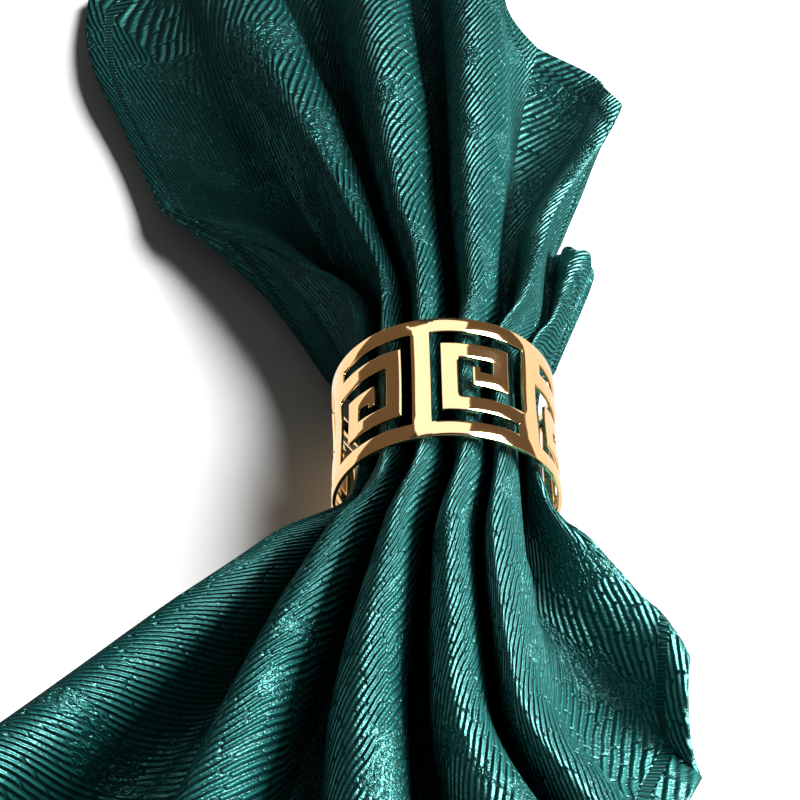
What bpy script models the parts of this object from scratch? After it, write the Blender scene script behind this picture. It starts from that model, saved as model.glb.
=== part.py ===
# A square damask napkin drawn cornerwise through an openwork ring, lying on a table.
# Units are metres, +Z is up, the ring's axis runs along Y and the table is z = 0.
import math

import bmesh
import bpy
from mathutils import Vector

MM = 0.001

# ring: a thin band lying on its side
RING_OUTER_RADIUS = 22.5 * MM
RING_LENGTH = 29.0 * MM
RING_WALL = 0.8 * MM
RING_WAIST = 0.5 * MM          # how far the openwork is drawn in between the two edge bands
RING_PANELS = 6
FIRST_BAR_DEG = -10.7          # from straight up, towards +X
LARGEST_STEP_DEG = 4.5         # longest facet round the ring

# one key panel, measured in degrees from the middle of the bar on its left
KEY_TURNS = (0, 4.8, 10.2, 18.6, 26.1, 30.0, 37.0, 45.6, 50.5, 55.2, 60)
# and in parts of the ring's length, from its lower edge up
KEY_LEVELS = (0, 0.12, 0.215, 0.335, 0.44, 0.56, 0.60, 0.665, 0.785, 0.88, 1)
# metal (#) and slots (.) between those lines, top row first
KEY_METAL = (
    "##########",
    "#........#",
    "#.#####..#",
    "#.#...#..#",
    "#.#.#.#..#",
    "#.#.###..#",
    "#.#......#",
    "#.########",
    "#.......##",
    "##########",
)

# napkin: a hemmed square, folded into pleats that run from corner to corner
NAPKIN_SIDE = 305.0 * MM
HALF_DIAGONAL = NAPKIN_SIDE / math.sqrt(2)
CLOTH_THICKNESS = 1.0 * MM
RING_CLEARANCE = 0.5 * MM      # between the cloth and the inside of the ring
RIM_MARGIN = 1.5 * MM          # it keeps to the ring's inside for this much past the rim
SPREAD_LENGTH = 12.0 * MM      # and is free to spread out this much further on
PRESSED_FLAT = 0.3 * MM        # cloth nearer to the table than this lies flat on it
PLEAT_FULLNESS = 0.6           # 0 leaves pointed waves, more gives round backs and upright sides
BACK_FULLNESS = 0.4            # how much rounder the backs are than the troughs
CLEAR_OF_RING = 11.5 * MM      # the folds run straight this far from the ring's middle
TURN_LENGTH = 20.0 * MM        # and have taken up their headings this much further on
LEVEL_MID = 60.0 * MM          # where the columns up_mid and low_mid give the height
LEVEL_FAR = 115.0 * MM         # where up_far and low_far do
ROWS_EACH_WAY = 15
ROW_CROWDING = 1.4             # rows are closer together near the ring
PATH_STEP = 3.0 * MM           # the fold lines are worked out in steps of this length

# A row for each fold line, left to right: backs (high) and troughs (low), in mm and degrees.
# flat: distance from the napkin's long diagonal, at the ring and 100 mm above and below it
# x, z: place inside the ring, from its centre
# turn: heading once clear of the ring, towards +X; bend: further heading 100 mm on
# mid, far: height over the table at LEVEL_MID and LEVEL_FAR
FOLD_COLUMNS = ("name", "flat_up", "flat", "flat_low", "x", "z",
                "up_turn", "up_bend", "up_mid", "up_far",
                "low_turn", "low_bend", "low_mid", "low_far")
FOLD_ROWS = (
    ("left_tuck", -212, -212, -212, 3, -19, -15, 0, 0.5, 0.5, -20, 0, 0.5, 0.5),
    ("left_foot", -125, -150, -108, -17, -10.5, -27, -26, 2, 5, -60, 0, 0.5, 0.5),
    ("back_0", -121, -122, -85, -16.2, 12.2, -32, -18, 19, 9, -52, -6, 29, 25),
    ("trough_01", -58, -93, -60, -12.6, -4, -23, -7, 9, 0.5, -42, 8, 6, 0.5),
    ("back_1", -35, -65, -36, -9.1, 17.4, -11, -8, 34, 29, -24, 2, 32, 26),
    ("trough_12", -12, -36, -14, -6, -9, -8, -5, 7, 0.5, -20, 4, 6, 0.5),
    ("back_2", 10, -7, 8, -2.5, 20.2, -5, -1, 36, 30, -14, 6, 33, 25),
    ("trough_23", 32, 22, 29, 1.1, -10, -1, -1, 7, 0.5, -12, 14, 6, 0.5),
    ("back_3", 55, 51, 51, 4.7, 19.2, 2, 0, 35, 29, -10, 22, 31, 24),
    ("trough_34", 79, 80, 75, 8.1, -9.5, 7, 2, 9, 7, -6, 36, 6, 0.5),
    ("back_4", 113, 108, 100, 11.3, 15.8, 14, 12, 29, 18, -8, 44, 27, 17),
    ("trough_45", 131, 134, 132, 14.1, -3, 12, 4, 6, 0.5, 42, -18, 5, 0.5),
    ("back_5", 157, 160, 178, 17.1, 9.5, 24, 6, 15, 5, 58, 16, 15, 8),
    ("right_foot", 178, 184, 195, 19.5, -4.5, 31, 5, 0.5, 0.5, 64, 10, 0.5, 0.5),
    ("right_tuck", 212, 212, 212, 6, -18, 5, 0, 0.5, 0.5, 20, 0, 0.5, 0.5),
)
STEPS_BETWEEN_FOLDS = 5


def make_material(name, colour, roughness, metallic):
    material = bpy.data.materials.new(name)
    material.use_nodes = True
    shader = material.node_tree.nodes["Principled BSDF"]
    shader.inputs["Base Color"].default_value = (*colour, 1)
    shader.inputs["Roughness"].default_value = roughness
    shader.inputs["Metallic"].default_value = metallic
    return material


def object_from(points, faces, name, material):
    mesh = bpy.data.meshes.new(name)
    mesh.from_pydata([tuple(point) for point in points], [], faces)
    mesh.validate()
    mesh.materials.append(material)
    piece = bpy.data.objects.new(name, mesh)
    bpy.context.scene.collection.objects.link(piece)
    return piece


# ---------------------------------------------------------------- ring

def ring_radius(along):
    # the edge bands are straight, and the openwork between them is drawn in
    open_half = RING_LENGTH * (0.5 - KEY_LEVELS[1])
    if abs(along) >= open_half:
        return RING_OUTER_RADIUS
    return RING_OUTER_RADIUS - RING_WAIST * math.cos(0.5 * math.pi * along / open_half) ** 2


def key_is_metal(panel, column, row):
    # every other panel is turned end for end
    if panel % 2:
        column = len(KEY_TURNS) - 2 - column
        row = len(KEY_LEVELS) - 2 - row
    return KEY_METAL[len(KEY_METAL) - 1 - row][column] == "#"


def panel_turns(panel):
    if panel % 2:
        return [60 - turn for turn in reversed(KEY_TURNS)]
    return list(KEY_TURNS)


def panel_levels(panel):
    if panel % 2:
        return [1 - level for level in reversed(KEY_LEVELS)]
    return list(KEY_LEVELS)


def ring_stations():
    # (angle, panel, column) at the start of each facet round the ring
    stations = []
    for panel in range(RING_PANELS):
        turns = panel_turns(panel)
        for column in range(len(turns) - 1):
            width = turns[column + 1] - turns[column]
            facets = math.ceil(width / LARGEST_STEP_DEG)
            for facet in range(facets):
                turn = turns[column] + width * facet / facets
                angle = FIRST_BAR_DEG + panel * 360 / RING_PANELS + turn
                stations.append((math.radians(angle), panel, column))
    return stations


def build_ring(material):
    stations = ring_stations()
    levels = sorted({round(level, 4) for panel in (0, 1) for level in panel_levels(panel)})
    count = len(stations)

    def metal(station, level):
        _, panel, column = stations[station % count]
        middle = (levels[level] + levels[level + 1]) / 2
        edges = panel_levels(panel)
        row = max(i for i in range(len(edges) - 1) if edges[i] <= middle)
        return key_is_metal(panel, column, row)

    points = []
    for depth in (0, RING_WALL):
        for angle, _, _ in stations:
            for level in levels:
                along = (level - 0.5) * RING_LENGTH
                radius = ring_radius(along) - depth
                points.append(Vector((radius * math.sin(angle), along,
                                      RING_OUTER_RADIUS + radius * math.cos(angle))))
    inner = count * len(levels)

    def corner(station, level):
        return (station % count) * len(levels) + level

    faces = []
    for station in range(count):
        for level in range(len(levels) - 1):
            if not metal(station, level):
                continue
            a, b = corner(station, level), corner(station + 1, level)
            c, d = corner(station + 1, level + 1), corner(station, level + 1)
            faces.append((a, b, c, d))
            faces.append((inner + d, inner + c, inner + b, inner + a))
            neighbours = (
                (level > 0 and metal(station, level - 1), a, b),
                (metal(station + 1, level), b, c),
                (level < len(levels) - 2 and metal(station, level + 1), c, d),
                (metal(station - 1, level), d, a),
            )
            for joined, start, end in neighbours:
                if not joined:
                    faces.append((end, start, inner + start, inner + end))

    ring = object_from(points, faces, "ring", material)
    shell = bmesh.new()
    shell.from_mesh(ring.data)
    bmesh.ops.delete(shell, geom=[v for v in shell.verts if not v.link_faces], context="VERTS")
    bmesh.ops.recalc_face_normals(shell, faces=shell.faces)
    lowest = min(vert.co.z for vert in shell.verts)
    for vert in shell.verts:
        vert.co.z -= lowest
    shell.to_mesh(ring.data)
    shell.free()
    return ring


# ---------------------------------------------------------------- napkin

def ease(part):
    part = min(max(part, 0.0), 1.0)
    return part * part * (3 - 2 * part)


def through(stations, values, at):
    # a smooth curve through a few heights
    if at >= stations[-1]:
        return values[-1]
    last = len(stations) - 1
    k = max(i for i in range(last) if stations[i] <= at)
    span = stations[k + 1] - stations[k]

    def slope(i):
        if i == 0 or i == last:
            return 0.0
        return (values[i + 1] - values[i - 1]) / (stations[i + 1] - stations[i - 1])

    t = (at - stations[k]) / span
    rise = values[k + 1] - values[k]
    start, end = slope(k) * span, slope(k + 1) * span
    return (values[k] + t * start + t * t * (3 * rise - 2 * start - end)
            + t * t * t * (start + end - 2 * rise))


def fold_lines():
    return [dict(zip(FOLD_COLUMNS, row)) for row in FOLD_ROWS]


def fold_path(fold, way):
    # points along one fold line, PATH_STEP of cloth apart, from the ring's middle outwards
    half = "up_" if way > 0 else "low_"
    base = RING_OUTER_RADIUS + fold["z"] * MM
    stations = (0.0, CLEAR_OF_RING, LEVEL_MID, LEVEL_FAR, HALF_DIAGONAL)
    heights = (base, base, fold[half + "mid"] * MM, fold[half + "far"] * MM, CLOTH_THICKNESS / 2)
    x, y = fold["x"] * MM, 0.0
    path = [Vector((x, y, base))]
    steps = math.ceil(HALF_DIAGONAL / PATH_STEP) + 1
    for step in range(steps):
        here, there = step * PATH_STEP, (step + 1) * PATH_STEP
        drop = through(stations, heights, there) - through(stations, heights, here)
        run = math.sqrt(max(PATH_STEP ** 2 - drop ** 2, 0.1 * PATH_STEP ** 2))
        clear = ease((here - CLEAR_OF_RING) / TURN_LENGTH)
        heading = math.radians(fold[half + "turn"] * clear
                               + fold[half + "bend"] * here / (100 * MM))
        x += run * math.sin(heading)
        y += run * math.cos(heading) * way
        path.append(Vector((x, y, through(stations, heights, there))))
    return path


def along_path(path, distance):
    place = distance / PATH_STEP
    k = min(int(place), len(path) - 2)
    return path[k].lerp(path[k + 1], place - k)


def keep_in_ring(point):
    # nothing reaches the metal, and nothing lies lower than the table
    half_cloth = CLOTH_THICKNESS / 2
    largest = RING_OUTER_RADIUS - RING_WAIST - RING_WALL - RING_CLEARANCE - half_cloth
    outside = ease((abs(point.y) - RING_LENGTH / 2 - RIM_MARGIN) / SPREAD_LENGTH)
    across = Vector((point.x, 0, point.z - RING_OUTER_RADIUS))
    if across.length > largest:
        across *= (largest + (across.length - largest) * outside) / across.length
    return Vector((across.x, point.y, max(RING_OUTER_RADIUS + across.z, half_cloth)))


def cloth_columns():
    # (fold index, part of the way to the next fold) for each column of the sheet
    columns = []
    folds = fold_lines()
    for k in range(len(folds) - 1):
        for step in range(STEPS_BETWEEN_FOLDS):
            columns.append((k, step / STEPS_BETWEEN_FOLDS))
    columns.append((len(folds) - 2, 1.0))
    return columns


def cloth_sheet():
    folds = fold_lines()
    paths = {way: [fold_path(fold, way) for fold in folds] for way in (-1, 1)}
    grid = []
    for k, part in cloth_columns():
        here, there = folds[k], folds[k + 1]
        wave = (1 - math.cos(math.pi * part)) / 2
        lean = BACK_FULLNESS if here["z"] > there["z"] else -BACK_FULLNESS
        side = (part + PLEAT_FULLNESS * math.sin(2 * math.pi * part) / (2 * math.pi)
                + lean * math.sin(math.pi * part) / math.pi)
        flat, flat_up, flat_low = (here[key] + (there[key] - here[key]) * part
                                   for key in ("flat", "flat_up", "flat_low"))
        column = []
        for row in range(-ROWS_EACH_WAY, ROWS_EACH_WAY + 1):
            way = 1 if row >= 0 else -1
            # how far this column runs before it meets a hem, as its fold wanders in the cloth
            wander = ((flat_up if way > 0 else flat_low) - flat) / 100
            reach = min((HALF_DIAGONAL + flat * MM) / (1 - wander),
                        (HALF_DIAGONAL - flat * MM) / (1 + wander))
            distance = reach * (abs(row) / ROWS_EACH_WAY) ** ROW_CROWDING
            left = along_path(paths[way][k], distance)
            right = along_path(paths[way][k + 1], distance)
            point = Vector((left.x + (right.x - left.x) * side,
                            left.y + (right.y - left.y) * side,
                            left.z + (right.z - left.z) * wave))
            column.append(keep_in_ring(point))
        grid.append(column)
    return grid


def build_napkin(material):
    grid = cloth_sheet()
    wide, long = len(grid), len(grid[0])

    def direction(before, here, after):
        # halfway between the way in and the way out, so that a sharp fold keeps its thickness
        return (here - before).normalized() + (after - here).normalized()

    def offset(i, j):
        # half the thickness, square to the sheet
        here = grid[i][j]
        across = direction(grid[max(i - 1, 0)][j], here, grid[min(i + 1, wide - 1)][j])
        along = direction(grid[i][max(j - 1, 0)], here, grid[i][min(j + 1, long - 1)])
        return across.cross(along).normalized() * (CLOTH_THICKNESS / 2)

    points = []
    for side in (1, -1):
        for i in range(wide):
            for j in range(long):
                point = grid[i][j] + offset(i, j) * side
                if point.z < PRESSED_FLAT:
                    point.z = 0.0
                points.append(point)
    under = wide * long
    faces = []
    for i in range(wide - 1):
        for j in range(long - 1):
            a, b, c, d = i * long + j, (i + 1) * long + j, (i + 1) * long + j + 1, i * long + j + 1
            faces.append((a, b, c, d))
            faces.append((under + d, under + c, under + b, under + a))
    border = ([(i, 0) for i in range(wide)] + [(wide - 1, j) for j in range(1, long)]
              + [(i, long - 1) for i in range(wide - 2, -1, -1)] + [(0, j) for j in range(long - 2, 0, -1)])
    for here, there in zip(border, border[1:] + border[:1]):
        a, b = here[0] * long + here[1], there[0] * long + there[1]
        faces.append((b, a, under + a, under + b))
    return object_from(points, faces, "napkin", material)


def centre_over_origin(pieces):
    corners = [vert.co for piece in pieces for vert in piece.data.vertices]
    shift = Vector((-(min(c.x for c in corners) + max(c.x for c in corners)) / 2,
                    -(min(c.y for c in corners) + max(c.y for c in corners)) / 2,
                    -min(c.z for c in corners)))
    for piece in pieces:
        for vert in piece.data.vertices:
            vert.co += shift


def main():
    for leftover in list(bpy.data.objects):
        bpy.data.objects.remove(leftover, do_unlink=True)
    damask = make_material("damask_cloth", (0.005, 0.115, 0.095), 0.45, 0.0)
    gold = make_material("polished_gold", (0.85, 0.56, 0.22), 0.12, 1.0)
    pieces = [build_napkin(damask), build_ring(gold)]
    centre_over_origin(pieces)


main()
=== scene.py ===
import math

import bmesh
import bpy
from mathutils import Matrix, Vector, noise


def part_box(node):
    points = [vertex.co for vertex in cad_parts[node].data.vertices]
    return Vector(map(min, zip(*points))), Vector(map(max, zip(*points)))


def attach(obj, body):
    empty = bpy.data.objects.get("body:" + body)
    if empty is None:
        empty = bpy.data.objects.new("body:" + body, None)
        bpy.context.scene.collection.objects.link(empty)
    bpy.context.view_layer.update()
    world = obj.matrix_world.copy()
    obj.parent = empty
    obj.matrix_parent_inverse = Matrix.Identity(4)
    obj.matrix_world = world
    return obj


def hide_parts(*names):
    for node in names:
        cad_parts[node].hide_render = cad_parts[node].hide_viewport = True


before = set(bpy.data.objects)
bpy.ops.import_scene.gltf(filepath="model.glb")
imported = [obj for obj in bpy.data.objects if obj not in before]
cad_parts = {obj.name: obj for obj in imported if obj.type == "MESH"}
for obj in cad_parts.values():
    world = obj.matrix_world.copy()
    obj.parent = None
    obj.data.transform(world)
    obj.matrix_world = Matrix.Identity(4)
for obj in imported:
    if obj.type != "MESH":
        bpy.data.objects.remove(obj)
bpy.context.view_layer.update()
mm = 0.001
print("frame loaded")


def linear(hexColour):
    # sRGB hex to the linear colour that the shaders want
    parts = [int(hexColour[i:i + 2], 16) / 255 for i in (1, 3, 5)]
    return tuple(c / 12.92 if c <= 0.04045 else ((c + 0.055) / 1.055) ** 2.4 for c in parts) + (1.0,)


def addNode(tree, kind, settings=None, links=None):
    # settings: attributes, or sockets by name or number; links: socket -> node, or (node, output)
    node = tree.nodes.new(kind)
    for key, value in (settings or {}).items():
        if isinstance(key, int) or key in node.inputs:
            node.inputs[key].default_value = value
        else:
            setattr(node, key, value)
    for key, source in (links or {}).items():
        fromNode, output = source if isinstance(source, tuple) else (source, 0)
        tree.links.new(fromNode.outputs[output], node.inputs[key])
    return node


def newMaterial(name, values):
    material = bpy.data.materials.new(name)
    material.use_nodes = True
    shader = material.node_tree.nodes["Principled BSDF"]
    for key, value in values.items():
        shader.inputs[key].default_value = value
    return material, material.node_tree, shader


def deselectAll():
    if bpy.context.object and bpy.context.object.mode != "OBJECT":
        bpy.ops.object.mode_set(mode="OBJECT")
    bpy.ops.object.select_all(action="DESELECT")


def work(piece):
    # the only piece selected, and active
    deselectAll()
    piece.select_set(True)
    bpy.context.view_layer.objects.active = piece


def useModifier(piece, kind, **settings):
    work(piece)
    modifier = piece.modifiers.new(kind.lower(), kind)
    for key, value in settings.items():
        setattr(modifier, key, value)
    bpy.ops.object.modifier_apply(modifier=modifier.name)


def pickFaces(piece, test):
    # in edit mode, select the faces that pass the test
    bpy.ops.object.mode_set(mode="EDIT")
    bpy.ops.mesh.select_mode(type="FACE")
    bpy.ops.mesh.select_all(action="DESELECT")
    shell = bmesh.from_edit_mesh(piece.data)
    for face in shell.faces:
        face.select_set(test(face))
    bmesh.update_edit_mesh(piece.data)


# camera
ringLow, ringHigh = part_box("ring")
ringCentre = (ringLow + ringHigh) / 2

view = {
    "distance": 0.450,         # metres from the ring's middle
    "elevation": 52.3,
    "roll": -2.0,
    "lens": 101.8,
    "sensor": 36.0,
    "shift": (-0.056125, 0.05875),      # puts the ring a little to the right and down
}


def makeCamera():
    data = bpy.data.cameras.new("camera")
    camera = bpy.data.objects.new("camera", data)
    bpy.context.scene.collection.objects.link(camera)
    high, roll = math.radians(view["elevation"]), math.radians(view["roll"])
    back = Vector((0, -math.cos(high), math.sin(high)))
    right = Vector((1, 0, 0))
    up = back.cross(right)
    turnedRight = right * math.cos(roll) + up * math.sin(roll)
    turnedUp = up * math.cos(roll) - right * math.sin(roll)
    camera.matrix_world = (Matrix.Translation(ringCentre + back * view["distance"])
                           @ Matrix((turnedRight, turnedUp, back)).transposed().to_4x4())
    data.lens, data.sensor_width = view["lens"], view["sensor"]
    data.shift_x, data.shift_y = view["shift"]
    bpy.context.scene.camera = camera


makeCamera()
print("camera placed")


# napkin; its lengths are in mm, here and in the tables
napkin = {
    "side": 305.0,
    "thickness": 0.7,
    "hemWidth": 6.0,
    "hemThickness": 1.3,
    "hemStep": 0.5,            # how far the hem takes to come down to the single cloth
    "edgeRound": 0.6,          # how far in from its edge the cloth is rounded
    "edgeThickness": 0.25,     # at the very edge, as a part of the hem's
    "cornerRound": 12.0,       # the larger, the rounder the front and back corners
    "ringDepth": 1.3,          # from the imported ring's outside to the inside of its bars
    "ringClearance": 0.6,
    "rimMargin": 1.5,          # past the ring's rim the cloth is still held for so long
    "spreadLength": 12.0,      # and is free after so much more
    "clearOfRing": 11.5,       # a fold line runs straight for so long from the ring's middle
    "acrossAt": (30.0, 60.0, 95.0, 150.0),      # where x30 to x150 are taken on a fold line
    "heightAt": (60.0, 115.0),                  # and z60 and z115
    "endHeight": 0.5,          # a fold line's height where the longest one ends
    "rightShare": 0.92,        # where a back's side stands, as a part of the way to the trough
    "leftShare": 0.55,
    "leastGap": 1.0,           # fold lines that are nearer are taken to be so far apart
    "pathStep": 1.0,
    "leastForward": 0.1,       # of a step's square, so that a fold line never turns back
    "stepsBetweenFolds": 13,
    "rowsEachWay": 72,
    "rowCrowding": 1.3,        # over 1, rows lie closer near the ring
    "hemRowsAt": (1.0, 0.7, 0.4),       # rows over the hem, as parts of its width
    "edgeRow": 0.25,           # the last row before the edge
    "cornerRows": 0.3,         # at a corner, the part of a column that has no hem rows
    "dents": ((28.0, 0.5), (11.0, 0.18)),       # size and height of the soft unevenness
    "dentStretch": 0.6,        # under 1, dents are longer along the cloth's run
    "dentFade": 25.0,          # they grow from nothing over so much cloth outside the ring
}

# Every fold line from left to right: backs (high) and troughs (low).
# flat: distance from the napkin's long diagonal; x, z: place inside the ring
ringColumns = ("name", "flat", "x", "z")
ringRows = (
    ("leftTuck", -212, -14, -13.5),
    ("leftFoot", -172, -17, -10.5),
    ("back0", -145, -16.2, 12.2),
    ("trough01", -93, -14, -4),
    ("back1", -65, -11, 17.4),
    ("trough12", -36, -7.5, -9),
    ("back2", -7, -3.6, 20.2),
    ("trough23", 22, -0.2, -10),
    ("back3", 51, 4.4, 19.2),
    ("trough34", 80, 8, -9.5),
    ("back4", 108, 10.5, 15.8),
    ("trough45", 146, 14.1, -3),
    ("back5", 172, 17.1, 9.5),
    ("rightFoot", 190, 19, -4.5),
    ("rightTuck", 212, 16, -12),
)

# The same lines behind the ring and in front of it. flatOut: flat after flatRun of cloth;
# x30 to x150: place across after so much cloth; z60, z115: height over the table there;
# full: how far the slope to the next line stands up, from 0 for a soft wave to 1 for a tube;
# wide: the most that a back's side stands away from its top on that slope
flatRun = 100.0
sprayColumns = ("flatOut", "x30", "x60", "x95", "x150", "z60", "z115", "full", "wide")
behindRows = (
    (-116, -23, -37, -61, -108, 6, 12, 0, 10),
    (-119, -20.5, -34, -60, -104, 13, 7, 0, 10),
    (-112, -17.6, -33, -56, -92, 22, 6, 0.4, 10),
    (-60, -10.8, -20.2, -35.5, -66, 6, 9, 0.9, 10),
    (-37, -11.5, -18.9, -29.8, -45.5, 32, 26, 1, 10),
    (-14, -7.2, -12.6, -20, -30, 12, 9, 0.95, 10),
    (8, -3.8, -7.7, -10.5, -14.4, 35, 30, 1, 9),
    (32, 1.3, 0.2, -0.9, -2.5, 13, 9, 0.95, 8),
    (55, 7.3, 7.6, 9, 10.1, 35, 30, 1, 7.5),
    (86, 11.6, 14, 19, 30, 12, 12, 0.8, 6),
    (110, 17.5, 24.2, 39, 56, 27, 19, 1, 9),
    (148, 20.3, 23.6, 37, 52, 8, 5, 0.7, 10),
    (145, 23.2, 29.8, 43, 56, 18, 14, 0.6, 10),
    (136, 23.7, 34, 44, 60, 15, 13, 0.2, 10),
    (119, 23.6, 35, 44, 58.8, 14, 14, 0, 10),
)
frontRows = (
    (-212, -16, -26, -42, -70, 1, 0.5, 0, 10),
    (-112, -30, -56.5, -85.5, -128, 13, 10, 0.2, 10),
    (-88, -28.5, -52, -79, -124, 32, 28, 1, 6.5),
    (-74, -25, -43, -64, -96, 2, 0.7, 0.95, 5.5),
    (-58, -19.6, -34, -48, -68, 33, 27, 1, 10),
    (-33, -16.2, -27.5, -37.4, -50, 3, 0.7, 0.95, 8),
    (-7, -9.4, -15.3, -16.3, -13.5, 33, 26, 1, 8.5),
    (22, -6, -8.3, -7, 0, 3, 0.7, 0.95, 8),
    (48, 0.8, 0.8, 12, 32, 31, 25, 1, 8.5),
    (75, 5.2, 6.6, 21.5, 42, 3, 0.7, 0.95, 8),
    (100, 8.6, 11.5, 29.5, 50, 29, 18, 1, 7),
    (132, 15, 33, 54.5, 76, 3, 0.7, 0, 10),
    (142, 26.5, 44, 52, 60, 14, 8, 0.3, 10),
    (141, 25, 46, 48, 62, 8, 5, 0.2, 10),
    (121, 20, 40, 44, 60, 3, 1, 0, 10),
)

halfDiagonal = napkin["side"] * mm / math.sqrt(2)
ringRadius = (ringHigh.x - ringLow.x) / 2
ringLength = ringHigh.y - ringLow.y


def ease(part):
    # 0 up to 0 and 1 from 1 on, with a soft rise between
    part = min(max(part, 0.0), 1.0)
    return part * part * (3 - 2 * part)


def through(stations, values, at):
    # a smooth curve through a few values that doesn't swing past them
    last = len(stations) - 1
    rates = [(values[i + 1] - values[i]) / (stations[i + 1] - stations[i]) for i in range(last)]

    def slope(i):
        if i == 0 or i == last:
            return rates[0] if i == 0 else rates[-1]
        before, after = rates[i - 1], rates[i]
        return 2 * before * after / (before + after) if before * after > 0 else 0.0

    if at >= stations[-1]:
        return values[-1] + rates[-1] * (at - stations[-1])
    k = max(i for i in range(last) if stations[i] <= at)
    span = stations[k + 1] - stations[k]
    t = (at - stations[k]) / span
    rise = values[k + 1] - values[k]
    start, end = slope(k) * span, slope(k + 1) * span
    return (values[k] + t * start + t * t * (3 * rise - 2 * start - end)
            + t * t * t * (start + end - 2 * rise))


def foldPath(fold, way):
    # points along one fold line, pathStep of cloth apart, from the ring's middle outwards
    base = ringRadius / mm + fold["z"]
    step = napkin["pathStep"]
    bends = [0.0, napkin["clearOfRing"], *napkin["acrossAt"]]
    places = [fold["x"], fold["x"], fold["x30"], fold["x60"], fold["x95"], fold["x150"]]
    levels = [0.0, napkin["clearOfRing"], *napkin["heightAt"], halfDiagonal / mm + step]
    heights = [base, base, fold["z60"], fold["z115"], napkin["endHeight"]]
    path = [Vector((fold["x"], 0, base)) * mm]
    y = 0.0
    for k in range(1, math.ceil(halfDiagonal / mm / step) + 2):
        x, z = through(bends, places, k * step), through(levels, heights, k * step)
        aside = (x - path[-1].x / mm) ** 2 + (z - path[-1].z / mm) ** 2
        y += math.sqrt(max(step ** 2 - aside, napkin["leastForward"] * step ** 2)) * way
        path.append(Vector((x, y, z)) * mm)
    return path


def alongPath(path, distance):
    # the point of a fold line after so much cloth
    place = distance / (napkin["pathStep"] * mm)
    k = min(int(place), len(path) - 2)
    return path[k].lerp(path[k + 1], place - k)


def keepInRing(point):
    # nothing reaches the metal, and nothing lies lower than the table
    lowest = napkin["thickness"] * mm / 2
    largest = ringRadius - (napkin["ringDepth"] + napkin["ringClearance"]) * mm - lowest
    past = abs(point.y) - ringLength / 2 - napkin["rimMargin"] * mm
    outside = ease(past / (napkin["spreadLength"] * mm))
    across = Vector((point.x, 0, point.z - ringRadius))
    if across.length > largest:
        across *= (largest + (across.length - largest) * outside) / across.length
    return Vector((across.x, point.y, max(ringRadius + across.z, lowest)))


def hemRows(reach):
    # distances along a column from the ring outwards, with close rows over the hem
    hem = napkin["hemWidth"] * mm * math.sqrt(2)
    step = napkin["hemStep"] * mm * math.sqrt(2)
    fromEdge = [hem + 2 * step, hem + step]
    fromEdge += [hem * part for part in napkin["hemRowsAt"]]
    fromEdge += [napkin["edgeRound"] * mm, napkin["edgeRow"] * mm, 0.0]
    last = [reach - at for at in fromEdge]
    start, gaps = napkin["cornerRows"], len(fromEdge) - 1
    if last[0] < start * reach:
        last = [reach * (start + (1 - start) * k / gaps) for k in range(gaps + 1)]
    rows = napkin["rowsEachWay"]
    return [last[0] * (k / rows) ** napkin["rowCrowding"] for k in range(rows)] + last


def hemSwell(flat):
    # half the cloth's thickness, by how far inside its edge the flat point lies
    inside = (halfDiagonal - abs(flat[0]) - abs(flat[1])) / math.sqrt(2)
    single, double = napkin["thickness"] * mm / 2, napkin["hemThickness"] * mm / 2
    hem = 1 - ease((inside - napkin["hemWidth"] * mm) / (napkin["hemStep"] * mm))
    rounding = math.sqrt(max(0.0, 1 - (1 - min(inside / (napkin["edgeRound"] * mm), 1.0)) ** 2))
    edge = napkin["edgeThickness"]
    return (single + (double - single) * hem) * (edge + (1 - edge) * rounding)


def pleat(part, here, there, gap):
    # how far across and how far up or down, at part of the cloth between two fold lines
    room = here["wide"] * mm / max(gap, napkin["leastGap"] * mm)
    if here["z"] > there["z"]:
        share = min(napkin["rightShare"], room)
    else:
        share = 1 - min(napkin["leftShare"], room)
    turn = math.sin(math.pi * part)
    tube = share * turn if part < 0.5 else 1 - (1 - share) * turn
    return part + (tube - part) * here["full"], (1 - math.cos(math.pi * part)) / 2


def columnReach(flat, wander):
    # how much cloth a column has: out to the nearer of two hems, which turn into each other smoothly
    reach, other = sorted(((halfDiagonal + flat) / (1 - wander), (halfDiagonal - flat) / (1 + wander)))
    rounding = napkin["cornerRound"] * mm
    return reach - max(0.0, rounding - (other - reach)) ** 2 / (4 * rounding)


def clothSheet():
    # columns of points from the front hem to the back one, and the flat cloth's place for each point
    steps = napkin["stepsBetweenFolds"]
    halves = {}
    for way, rows in ((-1, frontRows), (1, behindRows)):
        folds = [dict(zip(ringColumns + sprayColumns, ringRow + row))
                 for ringRow, row in zip(ringRows, rows)]
        halves[way] = [(fold, foldPath(fold, way)) for fold in folds]
    columns = [(k, step / steps) for k in range(len(ringRows) - 1) for step in range(steps)]
    columns.append((len(ringRows) - 2, 1.0))
    points, flats = [], []
    for k, part in columns:
        column, flatColumn = [], []
        for way in (-1, 1):
            (here, herePath), (there, therePath) = halves[way][k], halves[way][k + 1]
            flat = here["flat"] + (there["flat"] - here["flat"]) * part
            flatOut = here["flatOut"] + (there["flatOut"] - here["flatOut"]) * part
            wander = (flatOut - flat) / flatRun
            half, flatHalf = [], []
            for distance in hemRows(columnReach(flat * mm, wander)):
                left = alongPath(herePath, distance)
                right = alongPath(therePath, distance)
                across, rise = pleat(part, here, there, (right - left).xy.length)
                half.append(keepInRing(Vector((left.x + (right.x - left.x) * across,
                                               left.y + (right.y - left.y) * across,
                                               left.z + (right.z - left.z) * rise))))
                flatHalf.append((flat * mm + wander * distance, way * distance))
            if way < 0:
                column, flatColumn = half[:0:-1], flatHalf[:0:-1]
            else:
                column, flatColumn = column + half, flatColumn + flatHalf
        points.append(column)
        flats.append(flatColumn)
    return points, flats


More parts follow.
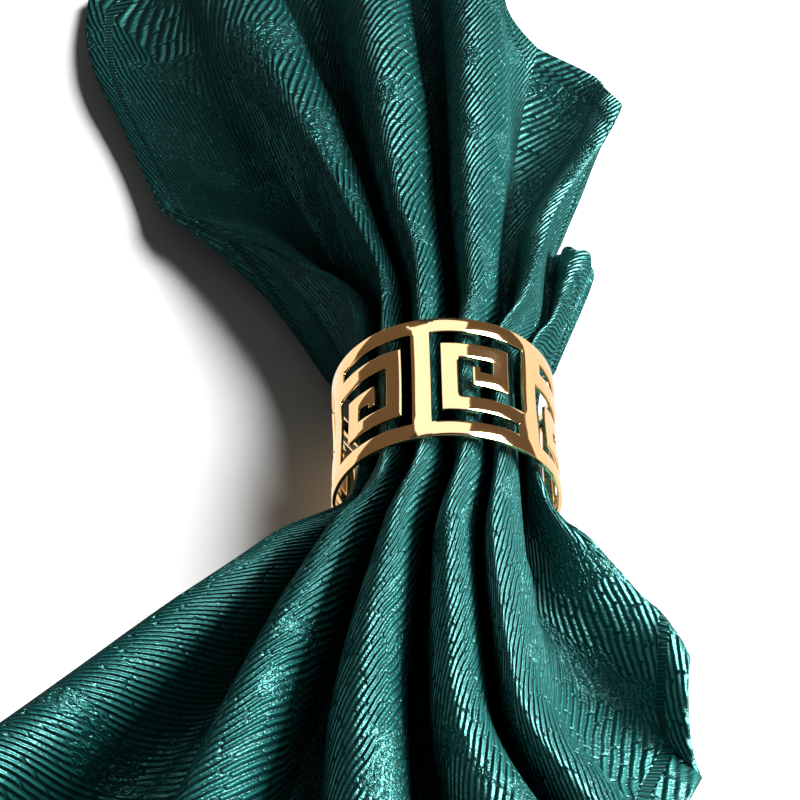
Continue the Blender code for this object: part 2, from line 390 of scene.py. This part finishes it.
def addDents(points, flats):
    # soft unevenness, aside and up or down, but not inside the ring or through the table
    lowest = napkin["thickness"] * mm / 2
    for column, flatColumn in zip(points, flats):
        for j, flat in enumerate(flatColumn):
            free = ease((abs(flat[1]) - ringLength / 2) / (napkin["dentFade"] * mm))
            for size, height in napkin["dents"]:
                at = Vector((flat[0], flat[1] * napkin["dentStretch"], 0)) / (size * mm)
                lift = noise.noise(at + Vector((0, 0, size))) * height * mm * free
                column[j] = column[j] + Vector((lift, 0, max(lift, lowest - column[j].z)))


def clothMesh(points, flats):
    # both sides of the cloth, with its edges closed all round
    wide, long = len(points), len(points[0])

    def direction(before, here, after):
        return (here - before).normalized() + (after - here).normalized()

    corners, uvs = [], []
    for side in (1, -1):
        for i in range(wide):
            for j in range(long):
                here = points[i][j]
                across = direction(points[max(i - 1, 0)][j], here, points[min(i + 1, wide - 1)][j])
                along = direction(points[i][max(j - 1, 0)], here, points[i][min(j + 1, long - 1)])
                square = across.cross(along).normalized()
                corner = here + square * (side * hemSwell(flats[i][j]))
                corner.z = max(corner.z, 0.0)
                corners.append(corner)
                uvs.append(flats[i][j])
    under = wide * long
    faces = []
    for i in range(wide - 1):
        for j in range(long - 1):
            a, b, c, d = i * long + j, (i + 1) * long + j, (i + 1) * long + j + 1, i * long + j + 1
            faces.append((a, b, c, d))
            faces.append((under + d, under + c, under + b, under + a))
    border = ([(i, 0) for i in range(wide)] + [(wide - 1, j) for j in range(1, long)]
              + [(i, long - 1) for i in range(wide - 2, -1, -1)] + [(0, j) for j in range(long - 2, 0, -1)])
    for here, there in zip(border, border[1:] + border[:1]):
        a, b = here[0] * long + here[1], there[0] * long + there[1]
        faces.append((b, a, under + a, under + b))
    mesh = bpy.data.meshes.new("napkin_damask")
    mesh.from_pydata([tuple(corner) for corner in corners], [], faces)
    layer = mesh.uv_layers.new(name="flatCloth")
    for loop in mesh.loops:
        layer.data[loop.index].uv = uvs[loop.vertex_index]
    mesh.shade_smooth()
    return mesh


def makeNapkin():
    points, flats = clothSheet()
    addDents(points, flats)
    # the folds are worked out from the ring's middle over the table, then moved to the ring
    shift = Vector((ringCentre.x, ringCentre.y, 0))
    points = [[point + shift for point in column] for column in points]
    piece = bpy.data.objects.new("napkin_damask", clothMesh(points, flats))
    bpy.context.scene.collection.objects.link(piece)
    return piece


weave = {
    "ribPitch": 1.25,          # mm; threads are too fine to show, so a rib stands for a few of them
    "ribTurn": 33.0,           # degrees from the napkin's long diagonal
    "ribLength": 9.0,
    "ribShift": 9.0,           # the most, in rib lengths, that a rib's breaks are moved along it
    "ribSway": 1.1,
    "swayScale": 0.11,         # repeats per mm, as are the other scales
    "figureSize": 17.0,        # the damask's scrolls and the ground between them
    "scrollScale": 0.16,
    "speckleScale": 1.1,
    "threadScale": 1.6,
    "threadHeight": 0.45,      # beside the ribs' 1
    "figureHeight": 0.6,
    "figureBase": 0.1,
    "stitchInside": 5.2,
    "stitchPitch": 1.5,
    "stitchReach": (0.95, 0.7),         # mm from the row's middle to a loop's end, and to its full height
    "stitchLoop": (0.15, 0.75),         # the same along the row, from the gap between two loops
    "relief": 0.8,
    # gap: painted shade, near black, for the shadow down in the hollows between ribs and between stitch
    # loops; thread: the cloth's own teal
    "gap": "#010809",
    "thread": "#032725",
    # crest: a painted highlight, lighter teal, for the light that the tops of the ribs catch
    "crest": "#0A4743",
    "threadTone": 0.45,        # the height that is thread-coloured, between a gap's 0 and a crest's 1
}


def damask():
    # satin damask in mercerised cotton: ribs of floating thread that catch the light one by one
    material, tree, shader = newMaterial("damaskSatin", {
        "Roughness": 0.38, "IOR": 1.5, "Specular IOR Level": 1.0, "Specular Tint": (0.3, 1.0, 0.95, 1)})
    calc, chance = "ShaderNodeMath", "ShaderNodeTexWhiteNoise"
    place = addNode(tree, "ShaderNodeUVMap", {"uv_map": "flatCloth"})
    turned = addNode(tree, "ShaderNodeMapping", {"Rotation": (0, 0, -math.radians(90 - weave["ribTurn"])),
                     "Scale": (1 / mm, 1 / mm, 1)}, {"Vector": place})
    axes = addNode(tree, "ShaderNodeSeparateXYZ", links={0: turned})    # mm along and across the ribs

    # ribs that sway a little, each broken into lengths of its own
    sway = addNode(tree, "ShaderNodeTexNoise", {"Scale": weave["swayScale"], "Detail": 1.0},
                   {"Vector": turned})
    swayed = addNode(tree, calc, {"operation": "MULTIPLY_ADD", 1: weave["ribSway"]},
                     {0: sway, 2: (axes, 1)})
    ribs = addNode(tree, calc, {"operation": "DIVIDE", 1: weave["ribPitch"]}, {0: swayed})
    rib = addNode(tree, calc, {"operation": "FLOOR"}, {0: ribs})
    ribSpot = addNode(tree, calc, {"operation": "PINGPONG", 1: 0.5}, {0: ribs})
    crest = addNode(tree, "ShaderNodeMapRange", {"interpolation_type": "SMOOTHSTEP", "From Max": 0.5},
                    {0: ribSpot})
    ribChance = addNode(tree, chance, {"noise_dimensions": "1D"}, {"W": rib})
    lengths = addNode(tree, calc, {"operation": "DIVIDE", 1: weave["ribLength"]}, {0: (axes, 0)})
    shifted = addNode(tree, calc, {"operation": "MULTIPLY_ADD", 1: weave["ribShift"]},
                      {0: ribChance, 2: lengths})
    length = addNode(tree, calc, {"operation": "FLOOR"}, {0: shifted})
    lengthSpot = addNode(tree, calc, {"operation": "PINGPONG", 1: 0.5}, {0: shifted})
    ends = addNode(tree, "ShaderNodeMapRange", {"From Max": 0.06}, {0: lengthSpot})
    pair = addNode(tree, "ShaderNodeCombineXYZ", links={0: rib, 1: length})
    lengthChance = addNode(tree, chance, {"noise_dimensions": "2D"}, {"Vector": pair})
    boldness = addNode(tree, "ShaderNodeMapRange", {"To Min": 0.45}, {0: lengthChance})
    ribHeight = addNode(tree, calc, {"operation": "MULTIPLY"}, {0: crest, 1: ends})
    ribHeight = addNode(tree, calc, {"operation": "MULTIPLY"}, {0: ribHeight, 1: boldness})

    # scrolls of the damask's figure, finer and flatter than the ground
    scroll = addNode(tree, "ShaderNodeTexWave", {"wave_type": "RINGS", "Scale": weave["scrollScale"],
                     "Distortion": 11.0, "Detail": 1.0, "Detail Scale": 0.5}, {"Vector": turned})
    scroll = addNode(tree, "ShaderNodeMapRange", {"From Min": 0.12, "From Max": 0.3}, {0: scroll})
    speckle = addNode(tree, "ShaderNodeTexNoise", {"Scale": weave["speckleScale"], "Detail": 1.0},
                      {"Vector": turned})
    speckle = addNode(tree, "ShaderNodeMapRange", {"From Min": 0.42, "From Max": 0.62}, {0: speckle})
    patches = addNode(tree, "ShaderNodeTexNoise", {"Scale": 1 / weave["figureSize"], "Detail": 1.0},
                      {"Vector": turned})
    figure = addNode(tree, "ShaderNodeMapRange", {"From Min": 0.56, "From Max": 0.6}, {0: patches})
    figureHeight = addNode(tree, calc, {"operation": "MULTIPLY"}, {0: scroll, 1: speckle})
    figureHeight = addNode(tree, calc, {"operation": "MULTIPLY_ADD", 1: weave["figureHeight"],
                           2: weave["figureBase"]}, {0: figureHeight})
    ground = addNode(tree, "ShaderNodeMix", links={0: figure, 2: ribHeight, 3: figureHeight})
    threads = addNode(tree, "ShaderNodeTexNoise", {"Scale": weave["threadScale"], "Detail": 2.0},
                      {"Vector": turned})
    ground = addNode(tree, calc, {"operation": "MULTIPLY_ADD", 1: weave["threadHeight"]},
                     {0: threads, 2: ground})

    # the hem's stitches, a row of small loops just inside each edge
    sides = addNode(tree, "ShaderNodeVectorMath", {"operation": "ABSOLUTE"}, {0: place})
    sides = addNode(tree, "ShaderNodeMapping", {"Rotation": (0, 0, math.radians(-45)),
                    "Scale": (1 / mm, 1 / mm, 1)}, {"Vector": sides})
    sides = addNode(tree, "ShaderNodeSeparateXYZ", links={0: sides})      # mm out to a hem, and along it
    row = napkin["side"] / 2 - weave["stitchInside"]
    fromRow = addNode(tree, calc, {"operation": "SUBTRACT", 1: row}, {0: (sides, 0)})
    fromRow = addNode(tree, calc, {"operation": "ABSOLUTE"}, {0: fromRow})
    far, near = weave["stitchReach"]
    onRow = addNode(tree, "ShaderNodeMapRange", {"From Min": far, "From Max": near}, {0: fromRow})
    loops = addNode(tree, calc, {"operation": "PINGPONG", 1: weave["stitchPitch"] / 2}, {0: (sides, 1)})
    low, high = weave["stitchLoop"]
    loops = addNode(tree, "ShaderNodeMapRange", {"From Min": low, "From Max": high}, {0: loops})
    height = addNode(tree, "ShaderNodeMix", links={0: onRow, 2: ground, 3: loops})

    # height to colour: painted shade in the low places, the cloth's own teal in the middle, and a painted
    # highlight on the crests
    tone = addNode(tree, "ShaderNodeValToRGB", links={0: height})
    ramp = tone.color_ramp
    ramp.elements[0].position, ramp.elements[0].color = 0.0, linear(weave["gap"])
    ramp.elements[1].position, ramp.elements[1].color = 1.0, linear(weave["crest"])
    ramp.elements.new(weave["threadTone"]).color = linear(weave["thread"])
    tree.links.new(tone.outputs[0], shader.inputs["Base Color"])
    bump = addNode(tree, "ShaderNodeBump", {"Distance": weave["relief"] * mm}, {"Height": height})
    tree.links.new(bump.outputs[0], shader.inputs["Normal"])
    return material


cloth = makeNapkin()
cloth.data.materials.append(damask())
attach(cloth, "root")
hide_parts("napkin")
print("napkin made")


# ring, in mm and degrees
ring = {
    "radius": 22.5,
    "length": 29.0,
    "wall": 0.8,
    "waist": 0.3,              # how far the openwork is drawn in between the edge bands
    "firstBar": -10.7,         # degrees from straight up
    "facet": 2.5,              # degrees between cuts round the band
    "waistRows": 12,           # rows of faces along the openwork
    "softEdge": 0.12,
    "sharpest": 40.0,          # degrees; an edge that turns more is softened
    "smoothest": 30.0,         # degrees; one that turns less is shaded smooth
    "weld": 0.01,              # nearer points are joined
}
# one key panel: degrees from the middle of the bar on its left, parts of the length from below
keyTurns = (0, 4.8, 10.2, 18.6, 26.1, 30.0, 37.0, 45.6, 50.5, 55.2, 60)
keyLevels = (0, 0.12, 0.215, 0.335, 0.40, 0.44, 0.56, 0.60, 0.665, 0.785, 0.88, 1)
# metal (#) and slots (.) between those lines, top row first
keyMetal = (
    "##########",
    "#........#",
    "#.#####..#",
    "#.#...#..#",
    "#.#.#.#..#",
    "#.#.###..#",
    "#.#......#",
    "#.#......#",
    "#.########",
    "#.......##",
    "##########",
)
perDegree = math.radians(1) * ring["radius"] * mm       # along the band while it is flat


def makePanel(turns, levels, metal, first):
    # a flat panel of the band, standing on XZ and facing -Y; it starts at first degrees
    bpy.ops.mesh.primitive_grid_add(x_subdivisions=len(turns) - 1, y_subdivisions=len(levels) - 1,
                                    size=2, rotation=(math.radians(90), 0, 0))
    piece = bpy.context.object
    bpy.ops.object.transform_apply(location=False, rotation=True, scale=False)
    for vert in piece.data.vertices:
        column = round((vert.co.x + 1) / 2 * (len(turns) - 1))
        row = round((vert.co.z + 1) / 2 * (len(levels) - 1))
        vert.co = ((first + turns[column]) * perDegree, 0, (levels[row] - 0.5) * ring["length"] * mm)

    def isSlot(face):
        middle = face.calc_center_median()
        turn, level = middle.x / perDegree - first, middle.z / (ring["length"] * mm) + 0.5
        column = max(i for i in range(len(turns) - 1) if turns[i] <= turn)
        row = max(i for i in range(len(levels) - 1) if levels[i] <= level)
        return metal[len(metal) - 1 - row][column] == "."

    pickFaces(piece, isSlot)
    bpy.ops.mesh.delete(type="FACE")
    bpy.ops.object.mode_set(mode="OBJECT")
    return piece


def makeRing():
    deselectAll()
    panels = []
    panelTurn = keyTurns[-1]
    half = 180 // panelTurn
    for k in range(-half, half):
        if k % 2:      # every other panel is turned end for end
            panels.append(makePanel([panelTurn - turn for turn in reversed(keyTurns)],
                                    [1 - level for level in reversed(keyLevels)],
                                    [row[::-1] for row in reversed(keyMetal)], panelTurn * k))
        else:
            panels.append(makePanel(keyTurns, keyLevels, keyMetal, panelTurn * k))
        deselectAll()
    for panel in panels:
        panel.select_set(True)
    bpy.context.view_layer.objects.active = panels[0]
    bpy.ops.object.join()
    band = bpy.context.object
    weld = ring["weld"] * mm
    halfLength = ring["length"] * mm / 2
    openShare = keyLevels[-2] - keyLevels[1]
    bpy.ops.object.mode_set(mode="EDIT")
    bpy.ops.mesh.select_all(action="SELECT")
    bpy.ops.mesh.remove_doubles(threshold=weld)
    # rows for the waist, then columns for the curve
    for k in range(1, ring["waistRows"]):
        share = 2 * openShare * k / ring["waistRows"] - openShare
        bpy.ops.mesh.select_all(action="SELECT")
        bpy.ops.mesh.bisect(plane_co=(0, 0, halfLength * share), plane_no=(0, 0, 1))
    for k in range(1, round(360 / ring["facet"])):
        bpy.ops.mesh.select_all(action="SELECT")
        bpy.ops.mesh.bisect(plane_co=(perDegree * (-180 + k * ring["facet"]), 0, 0), plane_no=(1, 0, 0))
    bpy.ops.mesh.select_all(action="SELECT")
    bpy.ops.mesh.extrude_region_move(TRANSFORM_OT_translate={"value": (0, ring["wall"] * mm, 0)})
    bpy.ops.object.mode_set(mode="OBJECT")

    # the band's two ends meet when it is bent round, so they are left open
    def isEnd(face):
        return abs(face.normal.x) > 0.9 and abs(face.calc_center_median().x) > 180 * perDegree - weld

    pickFaces(band, isEnd)
    bpy.ops.mesh.delete(type="FACE")
    bpy.ops.mesh.select_all(action="SELECT")
    bpy.ops.mesh.normals_make_consistent(inside=False)
    bpy.ops.object.mode_set(mode="OBJECT")
    openHalf = halfLength * openShare
    for vert in band.data.vertices:
        if abs(vert.co.z) < openHalf:
            vert.co.y += ring["waist"] * mm * math.cos(0.5 * math.pi * vert.co.z / openHalf) ** 2
    useModifier(band, "SIMPLE_DEFORM", deform_method="BEND", deform_axis="Z", angle=math.radians(360))
    bpy.ops.object.mode_set(mode="EDIT")
    bpy.ops.mesh.select_all(action="SELECT")
    bpy.ops.mesh.remove_doubles(threshold=weld)
    bpy.ops.object.mode_set(mode="OBJECT")
    useModifier(band, "BEVEL", width=ring["softEdge"] * mm, segments=2, limit_method="ANGLE",
                angle_limit=math.radians(ring["sharpest"]))
    # lay the band down, turn its first bar into place and set it on the table
    toAxis = Matrix.Translation((0, -ring["radius"] * mm, 0))
    layDown = Matrix.Rotation(math.radians(-90), 4, "X")
    turn = Matrix.Rotation(math.radians(ring["firstBar"]), 4, "Y")
    band.data.transform(Matrix.Translation(ringCentre) @ turn @ layDown @ toAxis)
    band.name = band.data.name = "ring_keywork"
    work(band)
    bpy.ops.object.shade_smooth_by_angle(angle=math.radians(ring["smoothest"]))
    return band


plate = {
    "colour": "#F6D4A2",
    "roughness": 0.07,
    "buffSize": 4.0,           # mm from one buffed hollow to the next
    "buffDepth": 0.05,
    "buffStrength": 0.1,
}


def gold():
    # gold plate, polished: mirror-like and warm, with the faint waviness of hand buffing
    material, tree, shader = newMaterial("polishedGold", {
        "Base Color": linear(plate["colour"]), "Metallic": 1.0, "Roughness": plate["roughness"]})
    place = addNode(tree, "ShaderNodeTexCoord")
    buff = addNode(tree, "ShaderNodeTexNoise", {"Scale": 1 / (plate["buffSize"] * mm), "Detail": 2.0},
                   {"Vector": (place, "Object")})
    bump = addNode(tree, "ShaderNodeBump", {"Strength": plate["buffStrength"],
                   "Distance": plate["buffDepth"] * mm}, {"Height": buff})
    tree.links.new(bump.outputs[0], shader.inputs["Normal"])
    return material


band = makeRing()
band.data.materials.clear()
band.data.materials.append(gold())
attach(band, "root")
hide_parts("ring")
print("ring made")


# floor, lights and world
studio = {
    "floorSize": 6.0,
    "floorShade": 0.9,
    "floorRoughness": 0.9,
    "dimLight": 0.05,          # from all round
}


def makeFloor():
    deselectAll()
    bpy.ops.mesh.primitive_plane_add(size=studio["floorSize"], location=(0, 0, 0))
    floor = bpy.context.object
    floor.name = "floor"
    # matt white card
    shade = studio["floorShade"]
    card = newMaterial("whiteCard", {"Base Color": (shade, shade, shade, 1),
                       "Roughness": studio["floorRoughness"]})[0]
    floor.data.materials.append(card)
    floor.visible_glossy = False     # a white table would grey the cloth's far slopes
    return floor


# Each lamp's place from the ring's middle, its width and depth, watts and colour, and what it lights:
# the cloth, the gold, or the rest, which is the gold and the table. The last lamp is what the gold
# mirrors in place of the table
lights = {
    "side": ((0.89, -0.02, 0.35), 0.55, 0.55, 60.0, "#FFFFFF", "cloth"),
    "high": ((0.47, 0.47, 0.69), 0.55, 0.55, 4.5, "#FFFFFF", "cloth"),
    "front": ((0.47, -0.47, 0.69), 0.55, 0.55, 1.5, "#FFFFFF", "cloth"),
    "frontLeft": ((-0.6, -0.45, 0.6), 0.55, 0.55, 2.2, "#FFFFFF", "cloth"),
    "key": ((0.63, 0.23, 0.68), 0.55, 0.55, 27.0, "#FFFFFF", "rest"),
    "strip": ((-0.03, 0.46, 0.60), 0.62, 0.5, 1.4, "#FFFFFF", "gold"),
    "wallLeft": ((-0.9, 0.7, 0.45), 1.6, 1.6, 0.85, "#FFC074", "gold"),
    "wallRight": ((0.9, 0.7, 0.45), 1.6, 1.6, 0.8, "#FFC074", "gold"),
    "whiteTable": ((0.0, 0.0, -0.0222), 1.2, 1.2, 4.8, "#FFF6E6", "gold"),
}


def makeLights():
    only = {}
    for lit, things in (("cloth", (cloth,)), ("gold", (band,)), ("rest", (band, table))):
        only[lit] = bpy.data.collections.new("lamps for the " + lit)
        for thing in things:
            only[lit].objects.link(thing)
    for name, (place, wide, deep, watts, colour, lit) in lights.items():
        data = bpy.data.lights.new(name, "AREA")
        data.shape, data.size, data.size_y, data.energy = "RECTANGLE", wide, deep, watts
        data.color = linear(colour)[:3]
        lamp = bpy.data.objects.new(name, data)
        bpy.context.scene.collection.objects.link(lamp)
        lamp.light_linking.receiver_collection = only[lit]
        lamp.location = ringCentre + Vector(place)
        lamp.visible_camera = False
        lamp.rotation_euler = (-Vector(place)).to_track_quat("-Z", "Y").to_euler()
    world = bpy.data.worlds.new("studio")
    world.use_nodes = True
    background = world.node_tree.nodes["Background"]
    background.inputs["Color"].default_value = (1, 1, 1, 1)
    background.inputs["Strength"].default_value = studio["dimLight"]
    bpy.context.scene.world = world
    bpy.context.scene.view_settings.view_transform = "Standard"


table = makeFloor()
makeLights()
print("stage set")
